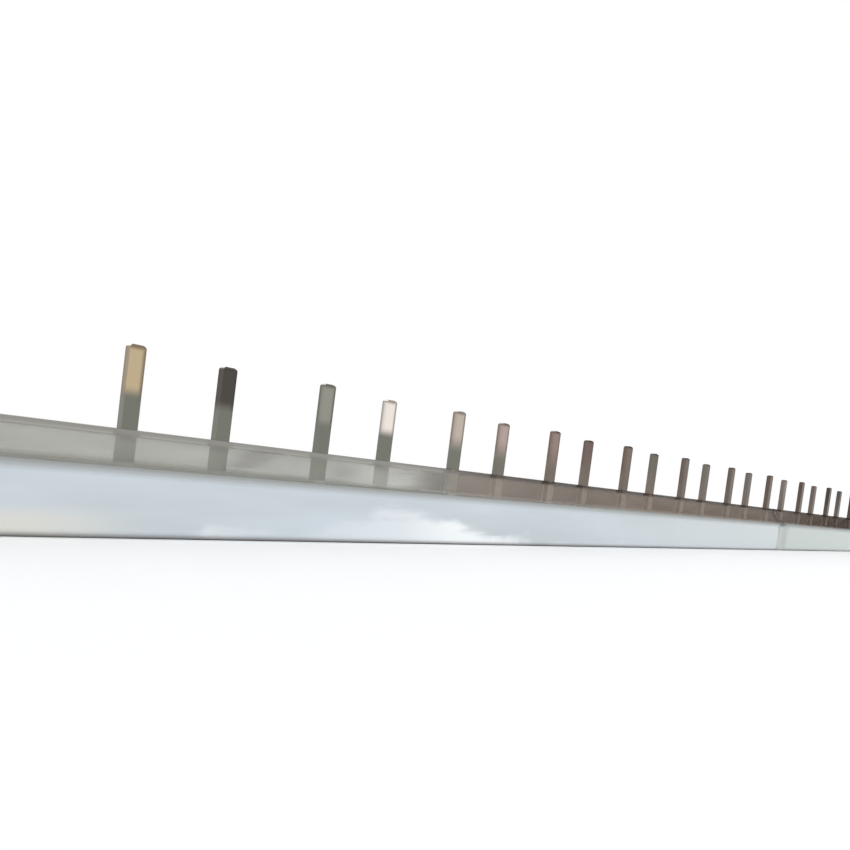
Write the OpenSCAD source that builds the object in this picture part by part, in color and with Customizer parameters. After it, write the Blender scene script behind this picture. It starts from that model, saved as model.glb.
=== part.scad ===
// Comb busbar for a row of two-pole devices.
// Two stamped copper combs stand back to back in a plastic channel. Their teeth are
// set over into one common row and leave through windows in a roof-shaped cover.
// X runs along the bar, Z points up the teeth, and the origin is under the middle
// of the channel.

/* [Layout] */
// Number of two-pole cells along the bar
cell_count = 12; // [2:1:14]
// Length of one cell, two device modules of 18 mm
cell_pitch = 36; // [30:0.5:54]
// Distance from a line pin to the neutral pin beside it
pair_gap = 15.5; // [8:0.5:20]

/* [Pins] */
// Width of a pin along the bar
pin_w = 2.5; // [2:0.1:4]
// Height of a line pin above the crown of the cover
line_pin_h = 12.4; // [8:0.1:20]
// Height of a neutral pin above the crown of the cover
neutral_pin_h = 11.8; // [8:0.1:20]
// Radius of the two corners at a pin's tip
tip_r = 0.6; // [0.2:0.05:1]
// Bevel across the thickness of a pin's tip
tip_bevel = 0.3; // [0.1:0.05:0.4]

/* [Combs] */
// Thickness of the copper sheet
sheet_t = 1.5; // [1:0.1:1.8]
// Height of the web that joins a comb's teeth
web_h = 5; // [4:0.1:7]
// Straight neck of a tooth between its web and its bend
neck_h = 1; // [0.8:0.1:1.4]
// Radius of a tooth's two bends, at the middle of the sheet
bend_r = 1.8; // [1.6:0.1:2.2]
// Fillet where a tooth leaves its web
root_r = 0.8; // [0.3:0.05:0.8]
// Distance from a web's end to the end of the channel
web_setback = 2; // [1:0.5:5]

/* [Channel] */
// Outside width of the channel
base_w = 14; // [13:0.1:18]
// Outside height of the channel
base_h = 10; // [9.9:0.1:13]
// Thickness of the channel's side walls
base_wall = 1.2; // [1:0.1:1.4]
// Thickness of the channel's floor
floor_t = 1.4; // [1:0.1:1.5]
// Radius of the channel's bottom edges
edge_r = 1.2; // [0.4:0.1:2]
// Radius of the channel's top outer edges, beside the cover
lip_r = 0.9; // [0.3:0.05:0.9]
// Thickness of the partition between the two webs
partition_t = 1.2; // [0.8:0.1:1.6]
// Height of the ribs that hold each web against the partition
rib_h = 3; // [2:0.1:4]
// Thickness of those ribs
rib_t = 1; // [0.6:0.1:1]

/* [Cover] */
// Rise of the cover from the channel's top edge to its crown
cover_rise = 5.2; // [4.9:0.1:8]
// Thickness of the cover
cover_t = 0.9; // [0.7:0.1:1]
// Width of the flat crown that the pins leave through
crown_w = 3.8; // [3.6:0.1:4.6]
// Radius between the crown and each side of the roof
crown_r = 0.5; // [0.2:0.05:0.8]
// Height of the upright edge along each eave
eave_h = 0.3; // [0.2:0.1:0.8]
// Depth of the legs that clip inside the channel
leg_h = 4; // [3.5:0.1:4]
// Radius of the clip bead along each leg
bead_r = 0.3; // [0.2:0.05:0.4]

/* [End caps] */
// Thickness of an end cap's plate
cap_t = 1.6; // [1.2:0.1:3]
// Inset of the step round the outer face of an end cap
cap_step = 0.4; // [0.2:0.1:0.6]
// Length of the pegs that hold an end cap in the channel
peg_l = 6; // [3:0.5:10]

/* [Crease] */
// Distance from the left end of the channel to the crease in its front
crease_x = 300; // [20:1:410]
// Depth of the crease at the channel's top edge
crease_top = 0.75; // [0.1:0.05:0.8]
// Depth of the crease at the channel's bottom edge
crease_foot = 0.3; // [0:0.05:0.4]

/* [Fits] */
// Clearance between parts that slide or clip together
fit_gap = 0.1; // [0.05:0.05:0.2]
// Clearance round each pin in its window
window_gap = 0.3; // [0.2:0.05:0.4]

/* [Hidden] */
$fn = 48;
cut = 1;                                            // how far a cut runs past a face
crease_r = 25;                                      // radius of the crease's hollow
score_r = 1;                                        // radius of the score across the roof
score_depth = 0.35;                                 // depth of that score
arc_steps = 6;                                      // chords in each small arc

bar_l = cell_count * cell_pitch;
wall_in = base_w / 2 - base_wall;                   // inner face of a side wall
eave_y = base_w / 2 - lip_r;                        // outer face of the cover's eave
web_y = partition_t / 2 + fit_gap + sheet_t / 2;    // middle of a web's thickness
rib_in = web_y + sheet_t / 2 + fit_gap;             // rib's face towards its web
rib_out = rib_in + rib_t;
web_top = floor_t + web_h;
bend_z = web_top + neck_h;                          // where a tooth starts to bend
bend_a = acos(1 - web_y / (2 * bend_r));            // angle of each bend
partition_top = bend_z - sheet_t / 2;
crown_z = base_h + cover_rise;
leg_out = wall_in - fit_gap;
leg_in = leg_out - cover_t;
leg_foot = base_h - leg_h;
bead_z = leg_foot + leg_h / 3;
roof_run = eave_y - crown_w / 2;
roof_rise = cover_rise - eave_h;
roof_a = atan(roof_rise / roof_run);
roof_l = norm([roof_run, roof_rise]);
window_w = pin_w + 2 * window_gap;
window_t = sheet_t + 2 * window_gap;

// Distance of a cell's line pin from the middle of the bar
function line_x(cell) = -bar_l / 2 + cell * cell_pitch + (cell_pitch - pair_gap) / 2;
function neutral_x(cell) = line_x(cell) + pair_gap;
// Height of the roof's inner face at a distance y from the middle
function roof_under(y) =
    base_h + eave_h + (eave_y - y) * tan(roof_a) - cover_t / cos(roof_a);
// Distance from the middle at which the roof's inner face has the height z
function roof_under_y(z) = eave_y - (z - base_h - eave_h + cover_t / cos(roof_a)) / tan(roof_a);

// Closed outline made of its right half, listed from the top down, and that half's mirror
function both_halves(half) =
    concat(half, [for (i = [len(half) - 1 : -1 : 0]) [-half[i].x, half[i].y]]);

// A section drawn in Y and Z, run along X from its middle
module along_bar(length) {
    rotate([90, 0, 90]) linear_extrude(length, center = true) children();
}

module both_sides() {
    children();
    mirror([1, 0]) children();
}

// What is cut away to round a top right corner that stands at the origin
module corner_waste(r) {
    difference() {
        translate([-r, -r]) square(r + cut);
        translate([-r, -r]) circle(r);
    }
}

// The same on both sides of a section, at its bottom and top outer corners
module edge_wastes(inset) {
    both_sides() {
        translate([base_w / 2 - inset, inset]) mirror([0, 1]) corner_waste(edge_r);
        translate([base_w / 2 - inset, base_h - inset]) corner_waste(lip_r);
    }
}

// ---- Channel ----
// Chambers right of the partition: the web's slot, the outer chamber and the space above both
module chambers() {
    top = base_h + cut;
    translate([partition_t / 2, floor_t]) square([rib_in - partition_t / 2, top - floor_t]);
    translate([rib_out, floor_t]) square([wall_in - rib_out, top - floor_t]);
    translate([partition_t / 2, floor_t + rib_h])
        square([wall_in - partition_t / 2, top - floor_t - rib_h]);
    translate([leg_out, bead_z]) circle(bead_r + fit_gap);
}

module channel_section() {
    difference() {
        translate([-base_w / 2, 0]) square([base_w, base_h]);
        translate([-partition_t, partition_top]) square([2 * partition_t, base_h]);
        both_sides() chambers();
        edge_wastes(0);
    }
}

// Hollow in the front wall, widest and deepest at the top edge
module crease_hollow() {
    lean = atan((crease_top - crease_foot) / base_h);
    translate([crease_x - bar_l / 2, -base_w / 2 + crease_foot, 0])
        rotate([-lean, 0, 0])
            translate([0, -crease_r, -2 * cut])
                cylinder(r = crease_r, h = base_h + 4 * cut, $fn = 360);
}

module channel() {
    color("whitesmoke")
        difference() {
            along_bar(bar_l) channel_section();
            crease_hollow();
        }
}

// ---- Cover ----
// Point of the rounding between the crown and the roof's right side
function crown_edge(a) =
    [crown_w / 2 - crown_r * tan(roof_a / 2) + crown_r * sin(a), crown_z - crown_r + crown_r * cos(a)];

// Right half of the cover's section, from the crown down the roof and round the leg
function cover_half() = concat(
    [for (i = [0 : arc_steps]) crown_edge(roof_a * i / arc_steps)],
    [
        [eave_y, base_h + eave_h],
        [eave_y, base_h],
        [leg_out, base_h]
    ],
    [for (i = [0 : arc_steps])
        [leg_out + bead_r * sin(180 * i / arc_steps), bead_z + bead_r * cos(180 * i / arc_steps)]],
    [
        [leg_out, leg_foot],
        [leg_in, leg_foot],
        [leg_in, roof_under(leg_in)],
        [roof_under_y(crown_z - cover_t), crown_z - cover_t]
    ]
);

module cover_section() {
    polygon(both_halves(cover_half()));
}

module pin_window(x) {
    translate([x - window_w / 2, -window_t / 2, crown_z - cover_t - cut])
        cube([window_w, window_t, cover_t + 2 * cut]);
}

// Scored line down the front of the roof, above the crease
module roof_score() {
    translate([crease_x - bar_l / 2, -eave_y, base_h + eave_h])
        rotate([roof_a - 90, 0, 0])
            translate([0, score_depth - score_r, -2 * cut])
                cylinder(r = score_r, h = roof_l + cut);
}

module cover() {
    color("gray", 0.6)
        difference() {
            along_bar(bar_l) cover_section();
            for (cell = [0 : cell_count - 1]) {
                pin_window(line_x(cell));
                pin_window(neutral_x(cell));
            }
            roof_score();
        }
}

// ---- Combs ----
// Point of a tooth's outline on its first or second bend, off the middle by side
function first_bend(a, side) =
    [web_y - bend_r + (bend_r + side) * cos(a), bend_z + (bend_r + side) * sin(a)];
function second_bend(a, side) =
    [bend_r - (bend_r - side) * cos(a),
     bend_z + 2 * bend_r * sin(bend_a) - (bend_r - side) * sin(a)];

// Side view of a tooth from its neck, through its two bends, to its bevelled tip
module tooth_profile(tip_z) {
    half_t = sheet_t / 2;
    polygon(concat(
        [[web_y - half_t, web_top - fit_gap], [web_y + half_t, web_top - fit_gap]],
        [for (i = [0 : arc_steps]) first_bend(bend_a * i / arc_steps, half_t)],
        [for (i = [1 : arc_steps]) second_bend(bend_a * (1 - i / arc_steps), half_t)],
        [[half_t, tip_z - tip_bevel], [half_t - tip_bevel, tip_z]],
        [[tip_bevel - half_t, tip_z], [-half_t, tip_z - tip_bevel]],
        [for (i = [0 : arc_steps - 1]) second_bend(bend_a * i / arc_steps, -half_t)],
        [for (i = [0 : arc_steps]) first_bend(bend_a * (1 - i / arc_steps), -half_t)]
    ));
}

// What is cut away to round the right corner of a pin's tip
module tip_waste(tip_z) {
    translate([pin_w / 2, 0, tip_z])
        rotate([90, 0, 0])
            linear_extrude(2 * sheet_t, center = true) corner_waste(tip_r);
}

module tooth(tip_z) {
    difference() {
        along_bar(pin_w) tooth_profile(tip_z);
        tip_waste(tip_z);
        mirror([1, 0, 0]) tip_waste(tip_z);
    }
}

// Fillet right of a tooth's neck, in the plane of the sheet
module root_fillet() {
    translate([pin_w / 2, web_y, web_top])
        rotate([90, 0, 0])
            linear_extrude(sheet_t, center = true)
                difference() {
                    translate([-fit_gap, -fit_gap]) square(root_r + fit_gap);
                    translate([root_r, root_r]) circle(root_r);
                }
}

// A web with one tooth at each place, its sheet behind the partition
module comb(places, tip_z) {
    web_l = bar_l - 2 * web_setback;
    translate([-web_l / 2, web_y - sheet_t / 2, floor_t])
        cube([web_l, sheet_t, web_h]);
    for (x = places)
        translate([x, 0, 0]) {
            tooth(tip_z);
            root_fillet();
            mirror([1, 0, 0]) root_fillet();
        }
}

module line_comb() {
    color("silver")
        mirror([0, 1, 0])
            comb([for (cell = [0 : cell_count - 1]) line_x(cell)], crown_z + line_pin_h);
}

module neutral_comb() {
    color("lightgray")
        comb([for (cell = [0 : cell_count - 1]) neutral_x(cell)], crown_z + neutral_pin_h);
}

// ---- End caps ----
// Outline shared by the channel and the cover, drawn in by inset
module bar_outline(inset) {
    half = [
        [crown_w / 2, crown_z - inset],
        [eave_y - inset, base_h + eave_h],
        [eave_y - inset, base_h - inset],
        [base_w / 2 - inset, base_h - inset],
        [base_w / 2 - inset, inset]
    ];
    difference() {
        polygon(both_halves(half));
        edge_wastes(inset);
    }
}

// Peg that fills a channel's outer chamber, beside the rib and under the cover's leg
module cap_peg() {
    translate([rib_out + fit_gap, floor_t + fit_gap])
        square([wall_in - rib_out - 2 * fit_gap, leg_foot - floor_t - 2 * fit_gap]);
}

// Cap for the left end, its pegs pointing along +X
module end_cap() {
    translate([-bar_l / 2 - cap_t + cap_step, 0, 0]) {
        rotate([90, 0, 90]) linear_extrude(cap_t - cap_step) bar_outline(0);
        translate([-cap_step, 0, 0])
            rotate([90, 0, 90]) linear_extrude(2 * cap_step) bar_outline(cap_step);
    }
    translate([-bar_l / 2 - cap_step, 0, 0])
        rotate([90, 0, 90]) linear_extrude(peg_l + cap_step) both_sides() cap_peg();
}

module left_end_cap() {
    color("white") end_cap();
}

module right_end_cap() {
    color("white") mirror([1, 0, 0]) end_cap();
}

channel();
cover();
line_comb();
neutral_comb();
left_end_cap();
right_end_cap();
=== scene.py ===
"""Comb busbar: finishes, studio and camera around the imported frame."""

import logging
import math
from dataclasses import dataclass, field
from enum import Enum

import bpy
from mathutils import Matrix, Vector


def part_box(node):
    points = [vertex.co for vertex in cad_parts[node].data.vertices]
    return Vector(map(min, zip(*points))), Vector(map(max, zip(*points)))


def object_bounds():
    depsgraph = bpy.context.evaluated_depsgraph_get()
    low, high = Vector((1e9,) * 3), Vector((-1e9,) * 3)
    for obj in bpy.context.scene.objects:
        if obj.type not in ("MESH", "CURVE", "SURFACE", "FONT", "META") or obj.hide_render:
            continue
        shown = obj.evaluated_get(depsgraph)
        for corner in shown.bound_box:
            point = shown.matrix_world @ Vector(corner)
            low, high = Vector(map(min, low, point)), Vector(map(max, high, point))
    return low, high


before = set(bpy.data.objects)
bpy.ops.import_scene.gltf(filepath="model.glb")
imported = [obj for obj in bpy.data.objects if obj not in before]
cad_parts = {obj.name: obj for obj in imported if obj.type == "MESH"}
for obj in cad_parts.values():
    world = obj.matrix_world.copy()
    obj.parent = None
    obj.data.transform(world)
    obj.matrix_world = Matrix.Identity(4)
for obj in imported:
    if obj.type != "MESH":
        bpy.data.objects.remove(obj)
CAD_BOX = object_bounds()

LOG = logging.getLogger("comb_busbar")
MM = 0.001


class Part(Enum):
    """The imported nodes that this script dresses."""

    CHANNEL = "channel"
    COVER = "cover"
    LINE_COMB = "line_comb"
    NEUTRAL_COMB = "neutral_comb"
    LEFT_END_CAP = "left_end_cap"
    RIGHT_END_CAP = "right_end_cap"


class Axis(Enum):
    """The bar's directions, by the names that the vector nodes give their sockets."""

    ALONG = "X"
    ACROSS = "Y"
    UP = "Z"


def linear(hex_colour: str) -> tuple[float, float, float, float]:
    """Turn an sRGB hex colour into linear RGBA.

    Args:
        hex_colour: six hex digits, with or without a leading hash.

    Returns:
        Linear red, green and blue, and an alpha of 1.
    """
    digits = hex_colour.lstrip("#")
    channels = [int(digits[i:i + 2], 16) / 255 for i in (0, 2, 4)]
    red, green, blue = (
        c / 12.92 if c <= 0.04045 else ((c + 0.055) / 1.055) ** 2.4 for c in channels
    )
    return (red, green, blue, 1.0)


def grey(level: float) -> tuple[float, float, float, float]:
    """Give the ramp colour that carries one value in all its channels."""
    return (level, level, level, 1.0)


def add_node(
    tree: bpy.types.NodeTree,
    kind: str,
    settings: dict[str, object] | None = None,
    inputs: dict[object, object] | None = None,
) -> bpy.types.Node:
    """Add a node with its settings, values and links.

    Args:
        tree: the node tree that takes the node.
        kind: the node's type name.
        settings: attributes of the node itself.
        inputs: input names or indexes, each with a value or with a socket to link from.

    Returns:
        The new node.
    """
    node = tree.nodes.new(kind)
    for name, value in (settings or {}).items():
        setattr(node, name, value)
    for name, value in (inputs or {}).items():
        if isinstance(value, bpy.types.NodeSocket):
            tree.links.new(value, node.inputs[name])
        else:
            node.inputs[name].default_value = value
    return node


def set_ramp(node: bpy.types.Node, stops: list[tuple[float, tuple[float, ...]]]) -> None:
    """Give a colour ramp its stops.

    Args:
        node: a ColorRamp node.
        stops: positions from 0 to 1 in rising order, each with a linear RGBA colour.
    """
    ramp = node.color_ramp
    while len(ramp.elements) < len(stops):
        ramp.elements.new(0.5)
    for element, (position, colour) in zip(ramp.elements, stops):
        element.position = position
        element.color = colour


def new_material(name: str) -> tuple[bpy.types.Material, bpy.types.NodeTree, bpy.types.Node]:
    """Start a material that holds one Principled shader.

    Args:
        name: the material's name.

    Returns:
        The material, its node tree and its Principled shader.
    """
    material = bpy.data.materials.new(name)
    material.use_nodes = True
    tree = material.node_tree
    return material, tree, tree.nodes["Principled BSDF"]


def position_mm(
    tree: bpy.types.NodeTree, units: tuple[float, float, float] = (1.0, 1.0, 1.0)
) -> bpy.types.NodeSocket:
    """Give the place on the part, in units of so many millimetres.

    Args:
        tree: the node tree that takes the nodes.
        units: the units along the bar, across it and up it; an endless one leaves its axis out.

    Returns:
        A vector socket.
    """
    place = add_node(tree, "ShaderNodeTexCoord")
    scaled = add_node(
        tree,
        "ShaderNodeMapping",
        inputs={"Vector": place.outputs["Object"], "Scale": tuple(1 / unit / MM for unit in units)},
    )
    return scaled.outputs["Vector"]


def overlap(tree: bpy.types.NodeTree, *masks: bpy.types.NodeSocket) -> bpy.types.NodeSocket:
    """Mask only what every one of the given masks holds.

    Args:
        tree: the node tree that takes the nodes.
        masks: one or more sockets with values from 0 to 1.

    Returns:
        A value socket.
    """
    held, *others = masks
    for other in others:
        held = add_node(
            tree, "ShaderNodeMath", {"operation": "MULTIPLY"}, {0: held, 1: other}
        ).outputs["Value"]
    return held


def layered(
    tree: bpy.types.NodeTree,
    tone: bpy.types.NodeSocket,
    layers: list[tuple[str | bpy.types.NodeSocket, bpy.types.NodeSocket]],
) -> bpy.types.NodeSocket:
    """Lay tones over a first one, each through its mask.

    Args:
        tree: the node tree that takes the nodes.
        tone: the tone below all the others.
        layers: from the lowest to the highest, a hex colour or a colour socket and its mask.

    Returns:
        A colour socket.
    """
    for over, mask in layers:
        tone = add_node(
            tree,
            "ShaderNodeMix",
            {"data_type": "RGBA"},
            {0: mask, 6: tone, 7: linear(over) if isinstance(over, str) else over},
        ).outputs[2]
    return tone


@dataclass(frozen=True)
class Band:
    """A stretch in one direction over which a mask rises, in millimetres or another unit."""

    axis: Axis
    start: float
    end: float
    strength: float = 1.0
    soft: bool = True
    both_ways: bool = False

    def mask(
        self,
        tree: bpy.types.NodeTree,
        place: bpy.types.Node,
        origin_mm: float = 0.0,
        unit_mm: float = 1.0,
    ) -> bpy.types.NodeSocket:
        """Mask what lies past the end of the stretch.

        Args:
            tree: the node tree that takes the nodes.
            place: the node that gives the place in millimetres.
            origin_mm: where the start and the end are measured from.
            unit_mm: the unit that they are measured in.

        Returns:
            A value socket, 0 up to the start and the strength from the end on.
        """
        value = place.outputs[self.axis.value]
        if self.both_ways:
            offset = add_node(
                tree, "ShaderNodeMath", {"operation": "SUBTRACT"}, {0: value, 1: origin_mm}
            )
            value = add_node(
                tree, "ShaderNodeMath", {"operation": "ABSOLUTE"}, {0: offset.outputs["Value"]}
            ).outputs["Value"]
            origin_mm = 0.0
        return add_node(
            tree,
            "ShaderNodeMapRange",
            {"interpolation_type": "SMOOTHSTEP" if self.soft else "LINEAR"},
            {
                "Value": value,
                "From Min": origin_mm + self.start * unit_mm,
                "From Max": origin_mm + self.end * unit_mm,
                "To Max": self.strength,
            },
        ).outputs["Result"]


@dataclass(frozen=True)
class Spot:
    """A soft-edged oval mark on the side of the bar, in millimetres."""

    along: float
    height: float
    half_length: float
    half_height: float
    strength: float
    core: float = 0.3
    # How far the mark moves along the bar for each millimetre that it climbs.
    lean: float = 0.0

    def mask(self, tree: bpy.types.NodeTree, origin_mm: float) -> bpy.types.NodeSocket:
        """Mask the mark.

        Args:
            tree: the node tree that takes the nodes.
            origin_mm: the place along the bar that the mark is measured from.

        Returns:
            A value socket, the strength inside the core and 0 outside the rim.
        """
        offset = add_node(
            tree,
            "ShaderNodeVectorMath",
            {"operation": "SUBTRACT"},
            {0: position_mm(tree), 1: (origin_mm + self.along, 0.0, self.height)},
        )
        oval = add_node(tree, "ShaderNodeCombineXYZ")
        for axis, share in (
            (Axis.ALONG, (1 / self.half_length, 0.0, -self.lean / self.half_length)),
            (Axis.UP, (0.0, 0.0, 1 / self.half_height)),
        ):
            part = add_node(
                tree,
                "ShaderNodeVectorMath",
                {"operation": "DOT_PRODUCT"},
                {0: offset.outputs["Vector"], 1: share},
            )
            tree.links.new(part.outputs["Value"], oval.inputs[axis.value])
        distance = add_node(
            tree, "ShaderNodeVectorMath", {"operation": "LENGTH"}, {0: oval.outputs["Vector"]}
        )
        return add_node(
            tree,
            "ShaderNodeMapRange",
            {"interpolation_type": "SMOOTHSTEP"},
            {
                "Value": distance.outputs["Value"],
                "From Min": 1.0,
                "From Max": self.core,
                "To Max": self.strength,
            },
        ).outputs["Result"]


# The bar's front half, which carries the painted shade, the painted reflection and the other marks.
FRONT = Band(Axis.ACROSS, 0.5, -0.5, soft=False)
# Painted shade in the notch where the crease meets the cover's eave, measured from the crease.
NOTCH_SHADE = Spot(0.0, 10.1, 5.0, 1.5, 0.75, core=1 / 3)


@dataclass(frozen=True)
class ExtrudedVinyl:
    """Rigid white vinyl, extruded: a cool glossy white with faint lines along the bar."""

    name: str = "extruded_white_vinyl"
    white: str = "#C8D1D8"
    shaded_white: str = "#BDC5CA"
    # Painted reflection of pale clouds along the foot of the wall.
    painted_cloud_reflection: str = "#EEF1F3"
    yellowed: str = "#DAD6CB"
    # Painted shade inside the crease.
    crease_shade: str = "#8F928B"
    far_white: str = "#C3CBCE"
    greenish_white: str = "#B6C0BD"
    # Painted shade on the rounded top edges.
    dimmed: str = "#8E9190"
    # Painted shade along the edges that the bar rests on.
    foot_shade: str = "#7C7876"
    # Painted shade in the notch where the crease meets the eave.
    groove_shade: str = "#4A4039"
    ior: float = 1.53
    roughness: float = 0.14
    dust_roughness: float = 0.75
    shade_mm: tuple[float, float, float] = (60.0, 10.0, 10.0)
    shade_range: tuple[float, float] = (0.38, 0.62)
    # Each entry: how far from the left end, how high the painted reflection of a pale cloud reaches,
    # and how strong it is.
    cloud_outline: tuple[tuple[float, float, float], ...] = (
        (53.0, 0.0, 0.0),
        (57.0, 1.6, 0.5),
        (66.0, 1.6, 0.5),
        (71.0, 0.0, 0.0),
        (78.0, 1.5, 0.15),
        (82.0, 3.8, 0.25),
        (92.0, 6.0, 0.35),
        (99.0, 6.2, 0.45),
        (105.0, 5.6, 0.7),
        (112.0, 4.4, 0.95),
        (119.0, 3.4, 1.0),
        (127.0, 2.6, 1.0),
        (139.0, 1.4, 0.9),
        (146.0, 0.0, 0.3),
        (154.0, 1.6, 0.12),
        (164.0, 0.0, 0.0),
    )
    puff_mm: tuple[float, float, float] = (14.0, math.inf, 3.0)
    puff_range: tuple[float, float] = (0.3, 0.7)
    puff_lift_mm: tuple[float, float] = (-2.0, 1.6)
    cloud_edge_mm: tuple[float, float] = (-1.2, 2.0)
    # Painted shade on the rounded top edges, which are also matt, and painted shade along the edges
    # that the bar rests on.
    lip: Band = Band(Axis.UP, 8.4, 9.9)
    foot: Band = Band(Axis.UP, 1.0, 0.1, 0.8)
    # The right half, where the white is a little duller.
    far: Band = Band(Axis.ALONG, -60.0, 30.0)
    # The warm patch low at the left end, measured from that end.
    yellow_end: Band = Band(Axis.ALONG, 50.0, 30.0, 0.7)
    yellow_foot: Band = Band(Axis.UP, 5.0, 2.0)
    # The greener stretch past the crease and the painted shade inside it, from the crease's middle.
    past_crease: Band = Band(Axis.ALONG, -5.6, 5.6)
    crease: Band = Band(Axis.ALONG, -5.6, 5.6, soft=False)
    # Shares of the way across the crease, each with how deep the painted shade is there.
    crease_shade_profile: tuple[tuple[float, float], ...] = (
        (0.0, 0.0), (0.06, 0.6), (0.14, 0.65), (0.3, 0.5), (0.75, 0.42), (1.0, 0.0)
    )
    # Die lines run the length of the bar, half a millimetre apart.
    line_mm: tuple[float, float, float] = (250.0, 0.5, 0.5)
    line_strength: float = 0.08
    line_depth: float = 0.05 * MM

    def build(self, crease_mm: float, left_mm: float) -> bpy.types.Material:
        """Build the material.

        Args:
            crease_mm: where the crease crosses the bar.
            left_mm: where the bar's left end is.

        Returns:
            The finished material.
        """
        material, tree, shader = new_material(self.name)
        place = add_node(tree, "ShaderNodeSeparateXYZ", inputs={"Vector": position_mm(tree)})
        shade = add_node(
            tree,
            "ShaderNodeTexNoise",
            inputs={"Vector": position_mm(tree, self.shade_mm), "Scale": 1.0, "Detail": 3.0},
        )
        ramp = add_node(tree, "ShaderNodeValToRGB", inputs={"Fac": shade.outputs["Fac"]})
        whites = (linear(self.shaded_white), linear(self.white))
        set_ramp(ramp, list(zip(self.shade_range, whites)))
        front = FRONT.mask(tree, place)
        lip = self.lip.mask(tree, place)
        near_end = self.yellow_end.mask(tree, place, left_mm)
        painted_clouds = self.painted_clouds(tree, place, left_mm)
        crease_shading = self.crease_shading(tree, place, crease_mm)
        tone = layered(
            tree,
            ramp.outputs["Color"],
            [
                (self.far_white, self.far.mask(tree, place)),
                (self.greenish_white, self.past_crease.mask(tree, place, crease_mm)),
                (self.painted_cloud_reflection, overlap(tree, front, painted_clouds)),
                (self.yellowed, overlap(tree, front, near_end, self.yellow_foot.mask(tree, place))),
                (self.crease_shade, overlap(tree, front, crease_shading)),
                (self.dimmed, lip),
                (self.foot_shade, self.foot.mask(tree, place)),
                (self.groove_shade, overlap(tree, front, NOTCH_SHADE.mask(tree, crease_mm))),
            ],
        )
        tree.links.new(tone, shader.inputs["Base Color"])
        lines = add_node(
            tree,
            "ShaderNodeTexNoise",
            inputs={"Vector": position_mm(tree, self.line_mm), "Scale": 1.0, "Detail": 2.0},
        )
        bump = add_node(
            tree,
            "ShaderNodeBump",
            inputs={
                "Height": lines.outputs["Fac"],
                "Strength": self.line_strength,
                "Distance": self.line_depth,
            },
        )
        tree.links.new(bump.outputs["Normal"], shader.inputs["Normal"])
        matt = add_node(
            tree,
            "ShaderNodeMapRange",
            inputs={"Value": lip, "To Min": self.roughness, "To Max": self.dust_roughness},
        )
        tree.links.new(matt.outputs["Result"], shader.inputs["Roughness"])
        shader.inputs["IOR"].default_value = self.ior
        return material

    def painted_clouds(
        self, tree: bpy.types.NodeTree, place: bpy.types.Node, left_mm: float
    ) -> bpy.types.NodeSocket:
        """Mask the painted reflection of pale clouds along the foot of the wall.

        Args:
            tree: the material's node tree.
            place: the node that gives the place in millimetres.
            left_mm: where the bar's left end is.

        Returns:
            A value socket, highest in the middle of a cloud.
        """
        starts, tops, shares = zip(*self.cloud_outline)
        stretch = Band(Axis.ALONG, starts[0], starts[-1], soft=False)
        along = stretch.mask(tree, place, left_mm)
        outline = add_node(tree, "ShaderNodeValToRGB", inputs={"Fac": along})
        strength = add_node(tree, "ShaderNodeValToRGB", inputs={"Fac": along})
        tallest = max(tops)
        places = [(start - starts[0]) / (starts[-1] - starts[0]) for start in starts]
        set_ramp(outline, [(at, grey(top / tallest)) for at, top in zip(places, tops)])
        set_ramp(strength, [(at, grey(share)) for at, share in zip(places, shares)])
        puffs = add_node(
            tree,
            "ShaderNodeTexNoise",
            inputs={
                "Vector": position_mm(tree, self.puff_mm),
                "Scale": 1.0,
                "Detail": 4.0,
                "Distortion": 0.4,
            },
        )
        # The noise lifts and lowers the outline, so the cloud breaks up towards its top.
        ragged = add_node(
            tree,
            "ShaderNodeMapRange",
            inputs={
                "Value": puffs.outputs["Fac"],
                "From Min": self.puff_range[0],
                "From Max": self.puff_range[1],
                "To Min": self.puff_lift_mm[0],
                "To Max": self.puff_lift_mm[1],
            },
        )
        top = add_node(
            tree,
            "ShaderNodeMath",
            {"operation": "MULTIPLY_ADD"},
            {0: outline.outputs["Color"], 1: tallest, 2: ragged.outputs["Result"]},
        )
        depth = add_node(
            tree,
            "ShaderNodeMath",
            {"operation": "SUBTRACT"},
            {0: top.outputs["Value"], 1: place.outputs["Z"]},
        )
        outside, inside = self.cloud_edge_mm
        cloud = add_node(
            tree,
            "ShaderNodeMapRange",
            {"interpolation_type": "SMOOTHSTEP"},
            {"Value": depth.outputs["Value"], "From Min": outside, "From Max": inside},
        )
        return overlap(tree, cloud.outputs["Result"], strength.outputs["Color"])

    def crease_shading(
        self, tree: bpy.types.NodeTree, place: bpy.types.Node, crease_mm: float
    ) -> bpy.types.NodeSocket:
        """Mask the painted shade inside the crease, deepest at its left edge.

        Args:
            tree: the material's node tree.
            place: the node that gives the place in millimetres.
            crease_mm: where the crease crosses the bar.

        Returns:
            A colour socket, pale where the painted shade is deepest.
        """
        across = self.crease.mask(tree, place, crease_mm)
        profile = add_node(tree, "ShaderNodeValToRGB", inputs={"Fac": across})
        set_ramp(profile, [(at, grey(share)) for at, share in self.crease_shade_profile])
        return profile.outputs["Color"]


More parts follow.
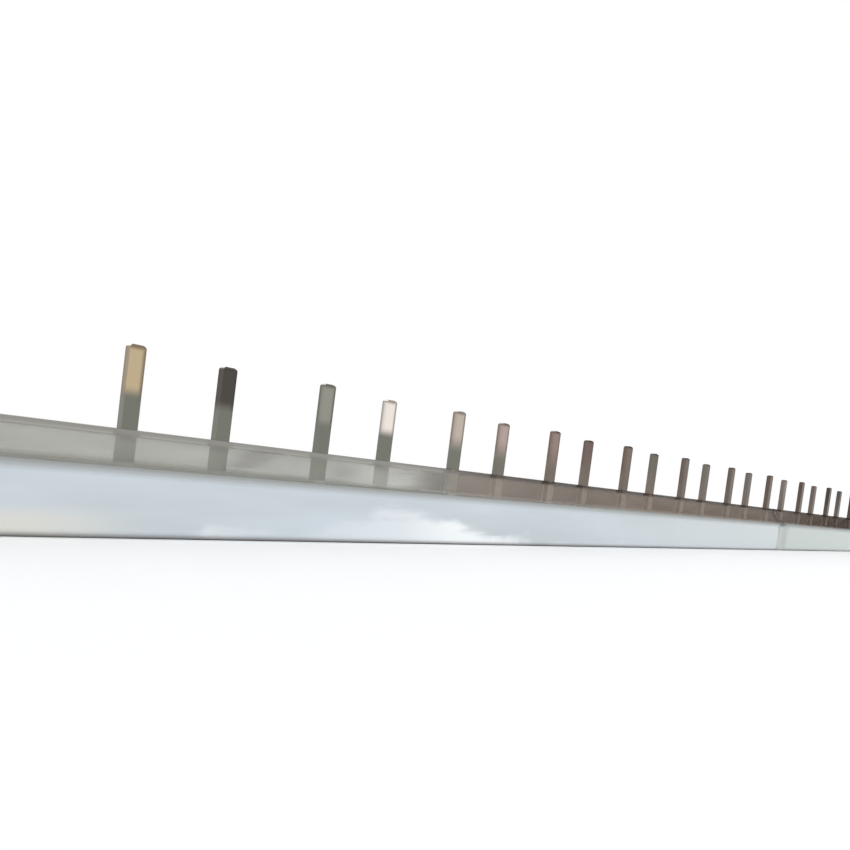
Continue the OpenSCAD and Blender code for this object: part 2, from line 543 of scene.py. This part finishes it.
@dataclass(frozen=True)
class SmokedPolycarbonate:
    """Smoke-tinted polycarbonate, extruded: its tone is a painted reflection, pale at the left and
    dark further on, where the sheet is also hazier.
    """

    name: str = "smoked_polycarbonate"
    # Each tone starts so many millimetres from the left end; together they paint a reflection, pale
    # at the left end and dark towards the right.
    tones: tuple[tuple[float, str], ...] = (
        (54.0, "#A6A69B"),
        (77.0, "#9EA096"),
        (112.0, "#98958A"),
        (120.0, "#9C9085"),
        (150.0, "#9C9085"),
        (198.0, "#A3958A"),
        (300.0, "#9A8D82"),
        (330.0, "#7C6F65"),
        (378.0, "#66574D"),
    )
    crown_tones: tuple[tuple[float, str], ...] = ((100.0, "#807E77"), (130.0, "#40352F"))
    # Painted light: the pale glow of the eaves.
    painted_glow: str = "#A8ABA8"
    # Painted shade in the scored line and in the notch.
    groove_shade: str = "#2E2520"
    # Tone of the darker marks on the front of the roof.
    mark_tone: str = "#4E433C"
    ior: float = 1.585
    roughness: float = 0.12
    worn_roughness: float = 0.6
    dirt_roughness: float = 0.7
    # How much the sheet hides, from where it is looked at squarely to where it is looked along.
    haze: tuple[tuple[float, float], ...] = ((0.3, 0.34), (0.66, 0.36), (0.86, 0.4))
    dusty_haze: float = 0.9
    cloud_mm: tuple[float, float, float] = (20.0, 4.0, 4.0)
    cloud_range: tuple[float, float] = (0.35, 0.65)
    cloud_lift: float = 0.06
    # Dust lies on the back slope of all but the left end, and the crown is scuffed throughout.
    back_slope: Band = Band(Axis.ACROSS, 0.6, 1.6)
    past_left: Band = Band(Axis.ALONG, 108.0, 122.0)
    scuffs: Band = Band(Axis.ACROSS, 1.7, 1.2, 0.9, both_ways=True)
    # Painted light: the eaves are painted pale, as if the white channel that they stand in shone
    # through them.
    eaves: Band = Band(Axis.UP, 10.8, 10.0, 0.35)
    # The darker line painted along the crown, measured from its height.
    crown: Band = Band(Axis.UP, -1.3, -0.3, 0.8)
    # Painted shade in the scored line across the roof, measured from the crease.
    score: Band = Band(Axis.ALONG, 2.2, 0.8, both_ways=True)
    # Darker marks on the front of the roof, measured from the left end.
    dark_marks: tuple[Spot, ...] = (
        Spot(67.0, 13.3, 5.0, 3.5, 0.6, lean=2.2),
        Spot(85.0, 12.4, 4.0, 1.1, 0.4),
    )

    def build(
        self, ends_mm: tuple[float, float], crease_mm: float, crown_mm: float
    ) -> bpy.types.Material:
        """Build the material.

        Args:
            ends_mm: where the cover's left and right ends are.
            crease_mm: where the crease crosses the bar.
            crown_mm: the height of the crown.

        Returns:
            The finished material.
        """
        material, tree, shader = new_material(self.name)
        place = add_node(tree, "ShaderNodeSeparateXYZ", inputs={"Vector": position_mm(tree)})
        left, right = ends_mm
        along = Band(Axis.ALONG, left, right, soft=False).mask(tree, place)
        smoke = add_node(tree, "ShaderNodeValToRGB", inputs={"Fac": along})
        edge = add_node(tree, "ShaderNodeValToRGB", inputs={"Fac": along})
        for ramp, tones in ((smoke, self.tones), (edge, self.crown_tones)):
            set_ramp(ramp, [(start / (right - left), linear(tone)) for start, tone in tones])
        front = FRONT.mask(tree, place)
        past_left = self.past_left.mask(tree, place, left)
        scuffed = self.scuffs.mask(tree, place)
        crown = self.crown.mask(tree, place, crown_mm)
        at_left = add_node(
            tree, "ShaderNodeMath", {"operation": "SUBTRACT"}, {0: 1.0, 1: past_left}
        ).outputs["Value"]
        dark_marks = [overlap(tree, front, dark_mark.mask(tree, left)) for dark_mark in self.dark_marks]
        crown_left = overlap(tree, crown, at_left)
        painted_glow = self.eaves.mask(tree, place)
        scored = overlap(tree, front, self.score.mask(tree, place, crease_mm))
        notched = overlap(tree, front, NOTCH_SHADE.mask(tree, crease_mm))
        tone = layered(
            tree,
            smoke.outputs["Color"],
            [
                *((self.mark_tone, dark_mark) for dark_mark in dark_marks),
                (edge.outputs["Color"], crown),
                (edge.outputs["Color"], crown_left),
                (self.painted_glow, painted_glow),
                (self.groove_shade, scored),
                (self.groove_shade, notched),
            ],
        )
        opacity = self.opacity(tree, place, past_left, scuffed)
        for mask in (crown_left, painted_glow, scored, notched):
            opacity = add_node(
                tree, "ShaderNodeMix", {"data_type": "FLOAT"}, {0: mask, 2: opacity, 3: 1.0}
            ).outputs[0]
        roughness = add_node(
            tree,
            "ShaderNodeMapRange",
            inputs={"Value": scuffed, "To Min": self.roughness, "To Max": self.worn_roughness},
        ).outputs["Result"]
        for mask in (crown_left, painted_glow):
            roughness = add_node(
                tree,
                "ShaderNodeMix",
                {"data_type": "FLOAT"},
                {0: mask, 2: roughness, 3: self.dirt_roughness},
            ).outputs[0]
        tree.links.new(tone, shader.inputs["Base Color"])
        tree.links.new(opacity, shader.inputs["Alpha"])
        tree.links.new(roughness, shader.inputs["Roughness"])
        shader.inputs["IOR"].default_value = self.ior
        return material

    def opacity(
        self,
        tree: bpy.types.NodeTree,
        place: bpy.types.Node,
        past_left: bpy.types.NodeSocket,
        scuffed: bpy.types.NodeSocket,
    ) -> bpy.types.NodeSocket:
        """Give the share of light that the sheet and its dust hold back.

        Args:
            tree: the material's node tree.
            place: the node that gives the place in millimetres.
            past_left: the mask of all but the left end.
            scuffed: the mask of the scuffed crown.

        Returns:
            A value socket.
        """
        # Light crosses more of the sheet where it is looked along, so less shows through it there.
        slant = add_node(tree, "ShaderNodeLayerWeight", inputs={"Blend": 0.5})
        haze = add_node(tree, "ShaderNodeValToRGB", inputs={"Fac": slant.outputs["Facing"]})
        set_ramp(haze, [(facing, grey(share)) for facing, share in self.haze])
        clouds = add_node(
            tree,
            "ShaderNodeTexNoise",
            inputs={"Vector": position_mm(tree, self.cloud_mm), "Scale": 1.0, "Detail": 3.0},
        )
        low, high = self.cloud_range
        lift = add_node(
            tree,
            "ShaderNodeMapRange",
            inputs={
                "Value": clouds.outputs["Fac"],
                "From Min": low,
                "From Max": high,
                "To Min": -self.cloud_lift,
                "To Max": self.cloud_lift,
            },
        )
        clear = add_node(
            tree,
            "ShaderNodeMath",
            {"operation": "ADD"},
            {0: haze.outputs["Color"], 1: lift.outputs["Result"]},
        )
        dimmed = add_node(
            tree,
            "ShaderNodeMath",
            {"operation": "MAXIMUM"},
            {0: overlap(tree, self.back_slope.mask(tree, place), past_left), 1: scuffed},
        )
        return add_node(
            tree,
            "ShaderNodeMix",
            {"data_type": "FLOAT"},
            {0: dimmed.outputs["Value"], 2: clear.outputs["Value"], 3: self.dusty_haze},
        ).outputs[0]


@dataclass(frozen=True)
class TinPlate:
    """Bright tin on stamped copper: a grey mirror, with painted reflections that are dark at the
    foot and tinted towards the tip.
    """

    name: str = "bright_tin_plate"
    # Tones of the feet, in the open and under the cover, by the share of the way along the bar, each
    # a painted reflection.
    feet: tuple[tuple[float, str], ...] = ((0.27, "#77786F"), (0.36, "#736A60"), (0.9, "#4F443B"))
    covered: tuple[tuple[float, str], ...] = ((0.21, "#6E7169"), (0.26, "#A9A79C"))
    # Painted highlight along the back arris under the cover.
    edge_highlight: str = "#F4F2EA"
    outline: str = "#4E443E"
    # Painted highlight on the sheared edges further along.
    sheared: str = "#968F89"
    # One tone for each tooth of both combs, from left to right, each a painted reflection on the
    # tip.
    tips: tuple[str, ...] = (
        "#A9A08F", "#8F8B80", "#C1AE8E", "#504C48", "#94938A", "#EFE6DE",
        "#BFB2A6", "#B3A19A", "#94827A", "#715F5A", "#786A5F", "#655F55",
        "#6F6158", "#656257", "#6C6157", "#63595B", "#62534A", "#756963",
        "#58483F", "#55473E", "#3A2B25", "#1E1410", "#32261F", "#2E221C",
    )
    roughness: float = 0.16
    # A painted highlight runs along the back arris under the cover, but not on the first teeth.
    back_arris: Band = Band(Axis.ACROSS, 0.3, 0.4, soft=False)
    lit_teeth: Band = Band(Axis.ALONG, 0.22, 0.26, soft=False)
    under_cover: Band = Band(Axis.UP, -0.3, -0.6, soft=False)
    # From where the teeth leave the cover, the tin carries the darker painted reflection of the
    # feet.
    outside: Band = Band(Axis.UP, -0.4, 0.0, soft=False)
    # The tip's tone starts this far above the cover: sharply at the left, softly further along.
    reflection_lift_mm: float = 5.5
    softening: tuple[float, float] = (0.21, 0.38)
    change_mm: tuple[float, float] = (1.0, 4.5)
    # The margins of a tooth's faces are darker above the change, and so is the line along its tip.
    margin_from: Band = Band(Axis.UP, 4.0, 6.0, soft=False)
    margin_strength: float = 0.65
    face_margin_mm: tuple[float, float] = (0.5, 1.15)
    edge_margin_mm: tuple[float, float] = (-0.4, 0.7)
    # At the front of a sheared edge the margin keeps more of its strength on the first teeth.
    edge_front_past: tuple[float, float] = (0.1, 0.11)
    edge_front_strength: tuple[float, float] = (0.45, 0.1)
    tip_line: Band = Band(Axis.UP, -1.0, -0.25, 0.7)
    # The sheared edges look along the bar, and further along they carry a painted highlight, paler
    # than the rolled faces.
    shear_facing: Band = Band(Axis.ALONG, 0.6, 0.9, soft=False, both_ways=True)
    edge_past: tuple[float, float] = (0.3, 0.45)
    edge_share: float = 0.1

    def build(
        self, teeth_mm: list[float], own_mm: list[float], foot_mm: float, tip_mm: float
    ) -> bpy.types.Material:
        """Build the material.

        Args:
            teeth_mm: where the teeth of both combs stand along the bar, from left to right.
            own_mm: where the teeth of this comb stand.
            foot_mm: the height at which the teeth leave the cover.
            tip_mm: the height of this comb's tips.

        Returns:
            The finished material.
        """
        material, tree, shader = new_material(self.name)
        place = add_node(tree, "ShaderNodeSeparateXYZ", inputs={"Vector": position_mm(tree)})
        left, right = teeth_mm[0], teeth_mm[-1]
        length = right - left
        along = Band(Axis.ALONG, left, right, soft=False).mask(tree, place)
        covered, feet, tips = (
            add_node(tree, "ShaderNodeValToRGB", inputs={"Fac": along}) for _ in range(3)
        )
        for ramp, tones in ((covered, self.covered), (feet, self.feet)):
            set_ramp(ramp, [(share, linear(tone)) for share, tone in tones])
        # Each tooth has a tone of its own, from half way to its left neighbour onwards.
        starts = [left] + [(x + y) / 2 for x, y in zip(teeth_mm, teeth_mm[1:])]
        set_ramp(tips, [((x - left) / length, linear(tip)) for x, tip in zip(starts, self.tips)])
        tips.color_ramp.interpolation = "CONSTANT"
        normal = add_node(tree, "ShaderNodeNewGeometry").outputs["Normal"]
        turned = add_node(tree, "ShaderNodeSeparateXYZ", inputs={"Vector": normal})
        sheared = self.shear_facing.mask(tree, turned)
        paler = Band(Axis.ALONG, *self.edge_past, self.edge_share, soft=False)
        edge_lit = overlap(
            tree,
            self.back_arris.mask(tree, place),
            self.lit_teeth.mask(tree, place, left, length),
            self.under_cover.mask(tree, place, foot_mm),
        )
        outlined = overlap(
            tree,
            self.outlined(tree, place, along, sheared, own_mm, tip_mm),
            self.margin_from.mask(tree, place, foot_mm),
        )
        tone = layered(
            tree,
            covered.outputs["Color"],
            [
                (self.edge_highlight, edge_lit),
                (feet.outputs["Color"], self.outside.mask(tree, place, foot_mm)),
                (tips.outputs["Color"], self.reflecting_tips(tree, place, along, foot_mm)),
                (self.outline, outlined),
                (self.sheared, overlap(tree, sheared, paler.mask(tree, place, left, length))),
            ],
        )
        tree.links.new(tone, shader.inputs["Base Color"])
        metal_share = add_node(tree, "ShaderNodeMath", {"operation": "SUBTRACT"}, {0: 1.0, 1: edge_lit})
        tree.links.new(metal_share.outputs["Value"], shader.inputs["Metallic"])
        shader.inputs["Roughness"].default_value = self.roughness
        return material

    def reflecting_tips(
        self,
        tree: bpy.types.NodeTree,
        place: bpy.types.Node,
        along: bpy.types.NodeSocket,
        foot_mm: float,
    ) -> bpy.types.NodeSocket:
        """Mask the upper part that carries the tip's painted reflection, sharply at the left and
        softly further along.

        Args:
            tree: the material's node tree.
            place: the node that gives the place in millimetres.
            along: the share of the way along the bar.
            foot_mm: the height at which the teeth leave the cover.

        Returns:
            A value socket, 1 at the tips.
        """
        spread = add_node(
            tree,
            "ShaderNodeMapRange",
            inputs={
                "Value": along,
                "From Min": self.softening[0],
                "From Max": self.softening[1],
                "To Min": self.change_mm[0],
                "To Max": self.change_mm[1],
            },
        )
        height = add_node(
            tree,
            "ShaderNodeMath",
            {"operation": "SUBTRACT"},
            {0: place.outputs["Z"], 1: foot_mm + self.reflection_lift_mm},
        )
        ratio = add_node(
            tree,
            "ShaderNodeMath",
            {"operation": "DIVIDE"},
            {0: height.outputs["Value"], 1: spread.outputs["Result"]},
        )
        return add_node(
            tree,
            "ShaderNodeMapRange",
            {"interpolation_type": "SMOOTHSTEP"},
            {"Value": ratio.outputs["Value"], "From Min": -1.0, "From Max": 1.0},
        ).outputs["Result"]

    def outlined(
        self,
        tree: bpy.types.NodeTree,
        place: bpy.types.Node,
        along: bpy.types.NodeSocket,
        sheared: bpy.types.NodeSocket,
        own_mm: list[float],
        tip_mm: float,
    ) -> bpy.types.NodeSocket:
        """Mask the darker margins of each tooth's faces and the line along its tip.

        Args:
            tree: the material's node tree.
            place: the node that gives the place in millimetres.
            along: the share of the way along the bar.
            sheared: the mask of the sheared edges.
            own_mm: where the teeth of this comb stand.
            tip_mm: the height of this comb's tips.

        Returns:
            A value socket.
        """
        pitch = (own_mm[-1] - own_mm[0]) / (len(own_mm) - 1)
        from_first = add_node(
            tree, "ShaderNodeMath", {"operation": "SUBTRACT"}, {0: place.outputs["X"], 1: own_mm[0]}
        )
        # Wrapping at half a pitch gives the distance from the nearest tooth's middle.
        from_middle = add_node(
            tree,
            "ShaderNodeMath",
            {"operation": "WRAP"},
            {0: from_first.outputs["Value"], 1: pitch / 2, 2: -pitch / 2},
        )
        front_share = add_node(
            tree,
            "ShaderNodeMapRange",
            inputs={
                "Value": along,
                "From Min": self.edge_front_past[0],
                "From Max": self.edge_front_past[1],
                "To Min": self.edge_front_strength[0],
                "To Max": self.edge_front_strength[1],
            },
        )
        on_face, on_edge = (
            add_node(
                tree,
                "ShaderNodeMapRange",
                {"interpolation_type": "SMOOTHSTEP"},
                {
                    "Value": value,
                    "From Min": start,
                    "From Max": end,
                    "To Min": least,
                    "To Max": self.margin_strength,
                },
            ).outputs["Result"]
            for value, (start, end), least in (
                (from_middle.outputs["Value"], self.face_margin_mm, 0.0),
                (place.outputs["Y"], self.edge_margin_mm, front_share.outputs["Result"]),
            )
        )
        margin = add_node(
            tree, "ShaderNodeMix", {"data_type": "FLOAT"}, {0: sheared, 2: on_face, 3: on_edge}
        )
        return add_node(
            tree,
            "ShaderNodeMath",
            {"operation": "MAXIMUM"},
            {0: margin.outputs[0], 1: self.tip_line.mask(tree, place, tip_mm)},
        ).outputs["Value"]


@dataclass(frozen=True)
class MouldedNylon:
    """White moulded nylon: softer in gloss than the extrusion beside it."""

    name: str = "moulded_white_nylon"
    white: str = "#D6DADB"
    ior: float = 1.53
    roughness: float = 0.38
    grain_mm: tuple[float, float, float] = (0.25, 0.25, 0.25)
    grain_strength: float = 0.1
    grain_depth: float = 0.05 * MM

    def build(self) -> bpy.types.Material:
        """Build the material.

        Returns:
            The finished material.
        """
        material, tree, shader = new_material(self.name)
        grain = add_node(
            tree,
            "ShaderNodeTexNoise",
            inputs={"Vector": position_mm(tree, self.grain_mm), "Scale": 1.0, "Detail": 2.0},
        )
        bump = add_node(
            tree,
            "ShaderNodeBump",
            inputs={
                "Height": grain.outputs["Fac"],
                "Strength": self.grain_strength,
                "Distance": self.grain_depth,
            },
        )
        tree.links.new(bump.outputs["Normal"], shader.inputs["Normal"])
        shader.inputs["Base Color"].default_value = linear(self.white)
        shader.inputs["Roughness"].default_value = self.roughness
        shader.inputs["IOR"].default_value = self.ior
        return material


def dress(part: Part, material: bpy.types.Material) -> None:
    """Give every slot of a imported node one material.

    Args:
        part: the node.
        material: its finish.
    """
    node = bpy.data.objects[part.value]
    if not node.material_slots:
        node.data.materials.append(material)
    for slot in node.material_slots:
        slot.material = material
    LOG.info("%s dressed with %s", part.value, material.name)


@dataclass
class Housing:
    """The two extrusions and the caps that close their ends."""

    vinyl: ExtrudedVinyl = field(default_factory=ExtrudedVinyl)
    smoke: SmokedPolycarbonate = field(default_factory=SmokedPolycarbonate)
    nylon: MouldedNylon = field(default_factory=MouldedNylon)
    crease_from_left: float = 300 * MM

    def dress(self) -> None:
        """Dress the channel, the cover and both caps."""
        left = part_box(Part.CHANNEL.value)[0].x
        crease_mm = (left + self.crease_from_left) / MM
        dress(Part.CHANNEL, self.vinyl.build(crease_mm, left / MM))
        low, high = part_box(Part.COVER.value)
        ends_mm = (low.x / MM, high.x / MM)
        dress(Part.COVER, self.smoke.build(ends_mm, crease_mm, high.z / MM))
        nylon = self.nylon.build()
        dress(Part.LEFT_END_CAP, nylon)
        dress(Part.RIGHT_END_CAP, nylon)


@dataclass
class Conductors:
    """The line comb and the neutral comb."""

    line_plate: TinPlate = field(default_factory=TinPlate)
    neutral_plate: TinPlate = field(
        default_factory=lambda: TinPlate(name="pale_edged_tin_plate", edge_share=0.3)
    )
    widest_tooth: float = 5 * MM

    def teeth(self, comb: Part) -> list[float]:
        """Find where a comb's teeth stand.

        Args:
            comb: one of the two combs.

        Returns:
            The middle of each tooth along the bar, in metres, from left to right.
        """
        vertices = bpy.data.objects[comb.value].data.vertices
        top = max(v.co.z for v in vertices)
        groups: list[list[float]] = []
        for x in sorted(v.co.x for v in vertices if v.co.z > top - MM):
            if not groups or x - groups[-1][0] > self.widest_tooth:
                groups.append([])
            groups[-1].append(x)
        return [(group[0] + group[-1]) / 2 for group in groups]

    def dress(self) -> None:
        """Dress both combs."""
        plates = {Part.LINE_COMB: self.line_plate, Part.NEUTRAL_COMB: self.neutral_plate}
        own = {comb: [x / MM for x in self.teeth(comb)] for comb in plates}
        both = sorted(x for teeth in own.values() for x in teeth)
        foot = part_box(Part.COVER.value)[1].z
        for comb, plate in plates.items():
            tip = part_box(comb.value)[1].z
            dress(comb, plate.build(both, own[comb], foot / MM, tip / MM))


@dataclass(frozen=True)
class Lamp:
    """A soft square lamp that faces the middle of the bar, in metres and watts."""

    name: str
    place: tuple[float, float, float]
    size: float
    power: float

    def hang(self) -> None:
        """Hang the lamp."""
        data = bpy.data.lights.new(self.name, "AREA")
        data.size = self.size
        data.energy = self.power
        lamp = bpy.data.objects.new(self.name, data)
        bpy.context.scene.collection.objects.link(lamp)
        lamp.location = self.place
        lamp.rotation_euler = (-Vector(self.place)).to_track_quat("-Z", "Y").to_euler()


@dataclass
class Studio:
    """Pale floor, pale surroundings, a dark card and soft lamps, in metres but for the fade."""

    white: str = "#FFFFFF"
    floor_span: float = 12.0
    floor_colour: str = "#EEEFF0"
    floor_roughness: float = 0.9
    # The floor turns white between these distances, which count half along the bar.
    fade_mm: tuple[float, float] = (60.0, 260.0)
    fade_units: tuple[float, float, float] = (2.0, 1.0, 1.0)
    fill: float = 0.55
    flag_colour: str = "#2A2420"
    flag_beyond: float = 0.6
    flag_half_width: float = 0.12
    flag_heights: tuple[float, float] = (0.001, 0.75)
    lamps: tuple[Lamp, ...] = (
        Lamp("key_lamp", (-0.5, -0.7, 0.9), 0.7, 6.0),
        Lamp("far_lamp", (0.7, -0.5, 0.7), 0.6, 4.0),
        Lamp("back_lamp", (0.0, 0.9, 0.7), 0.8, 4.0),
    )

    def build(self) -> None:
        """Build the floor, the surroundings, the flag and the lamps."""
        self.build_floor()
        self.build_world()
        self.build_flag()
        for lamp in self.lamps:
            lamp.hang()

    def sheet(self, name: str, corners: list[tuple[float, float, float]]) -> bpy.types.Object:
        """Make a flat stage sheet.

        Args:
            name: the sheet's name.
            corners: its four corners in order, in metres.

        Returns:
            The sheet.
        """
        mesh = bpy.data.meshes.new(name)
        mesh.from_pydata(corners, [], [(0, 1, 2, 3)])
        sheet = bpy.data.objects.new(name, mesh)
        bpy.context.scene.collection.objects.link(sheet)
        return sheet

    def build_floor(self) -> None:
        """Lay a floor that keeps the bar's shadow and fades to white away from it."""
        half = self.floor_span / 2
        floor = self.sheet(
            "floor", [(-half, -half, 0), (half, -half, 0), (half, half, 0), (-half, half, 0)]
        )
        material, tree, shader = new_material("floor_paper")
        shader.inputs["Base Color"].default_value = linear(self.floor_colour)
        shader.inputs["Roughness"].default_value = self.floor_roughness
        from_bar = add_node(
            tree,
            "ShaderNodeVectorMath",
            {"operation": "LENGTH"},
            {0: position_mm(tree, self.fade_units)},
        )
        near, far = self.fade_mm
        away = add_node(
            tree,
            "ShaderNodeMapRange",
            {"interpolation_type": "SMOOTHSTEP"},
            {"Value": from_bar.outputs["Value"], "From Min": near, "From Max": far},
        )
        white = overlap(tree, away.outputs["Result"], self.seen(tree))
        paper = add_node(
            tree, "ShaderNodeEmission", inputs={"Color": linear(self.white), "Strength": 1.0}
        )
        blend = add_node(
            tree,
            "ShaderNodeMixShader",
            inputs={0: white, 1: shader.outputs["BSDF"], 2: paper.outputs["Emission"]},
        )
        tree.links.new(blend.outputs["Shader"], tree.nodes["Material Output"].inputs["Surface"])
        floor.data.materials.append(material)

    def seen(self, tree: bpy.types.NodeTree) -> bpy.types.NodeSocket:
        """Tell rays that look or mirror from rays that light.

        Args:
            tree: the node tree that takes the nodes.

        Returns:
            A value socket, 1 for camera, glossy and transmission rays.
        """
        path = add_node(tree, "ShaderNodeLightPath")
        value = path.outputs["Is Camera Ray"]
        for name in ("Is Glossy Ray", "Is Transmission Ray"):
            value = add_node(
                tree, "ShaderNodeMath", {"operation": "MAXIMUM"}, {0: value, 1: path.outputs[name]}
            ).outputs["Value"]
        return value

    def build_world(self) -> None:
        """Light the room softly, and show it white to the eye and in reflections."""
        world = bpy.data.worlds.new("room")
        bpy.context.scene.world = world
        world.use_nodes = True
        tree = world.node_tree
        background = tree.nodes["Background"]
        strength = add_node(
            tree,
            "ShaderNodeMapRange",
            inputs={"Value": self.seen(tree), "To Min": self.fill, "To Max": 1.0},
        )
        background.inputs["Color"].default_value = linear(self.white)
        tree.links.new(strength.outputs["Result"], background.inputs["Strength"])

    def build_flag(self) -> None:
        """Stand a dark card beyond the right end, for the cover's roof to mirror."""
        x = CAD_BOX[1][0] + self.flag_beyond
        half = self.flag_half_width
        low, top = self.flag_heights
        flag = self.sheet("flag", [(x, -half, low), (x, half, low), (x, half, top), (x, -half, top)])
        flag.visible_camera = False
        material, _, shader = new_material("flag_felt")
        shader.inputs["Base Color"].default_value = linear(self.flag_colour)
        shader.inputs["Roughness"].default_value = 1.0
        flag.data.materials.append(material)


@dataclass
class Viewpoint:
    """Camera close to the left end, looking along the bar at pin height."""

    # Distances are in metres, the lens is in millimetres and the angles are in degrees.
    past_left_end: float = 4.3 * MM
    in_front: float = 103.9 * MM
    height: float = 16.0 * MM
    lens: float = 33.04
    turn: float = 46.42
    rise: float = -2.04
    roll: float = 7.32
    shift: float = 0.0765
    clip: tuple[float, float] = (5 * MM, 50.0)

    def build(self) -> None:
        """Set the camera up."""
        low = CAD_BOX[0]
        data = bpy.data.cameras.new("camera")
        data.lens = self.lens
        data.shift_y = self.shift
        data.clip_start, data.clip_end = self.clip
        camera = bpy.data.objects.new("camera", data)
        bpy.context.scene.collection.objects.link(camera)
        turn, rise, roll = (math.radians(a) for a in (self.turn, self.rise, self.roll))
        ahead = Vector(
            (math.sin(turn) * math.cos(rise), math.cos(turn) * math.cos(rise), math.sin(rise))
        )
        right = Vector((math.cos(turn), -math.sin(turn), 0))
        up = right.cross(ahead)
        axes = (
            right * math.cos(roll) + up * math.sin(roll),
            up * math.cos(roll) - right * math.sin(roll),
            -ahead,
        )
        place = Vector((low[0] - self.past_left_end, low[1] - self.in_front, low[2] + self.height))
        camera.matrix_world = Matrix.Translation(place) @ Matrix(axes).transposed().to_4x4()
        bpy.context.scene.camera = camera


def main() -> None:
    """Dress the busbar and set up its studio."""
    logging.basicConfig(level=logging.INFO, format="%(name)s: %(message)s")
    bpy.context.scene.view_settings.view_transform = "Standard"
    Viewpoint().build()
    Housing().dress()
    Conductors().dress()
    Studio().build()


if __name__ == "__main__":
    main()
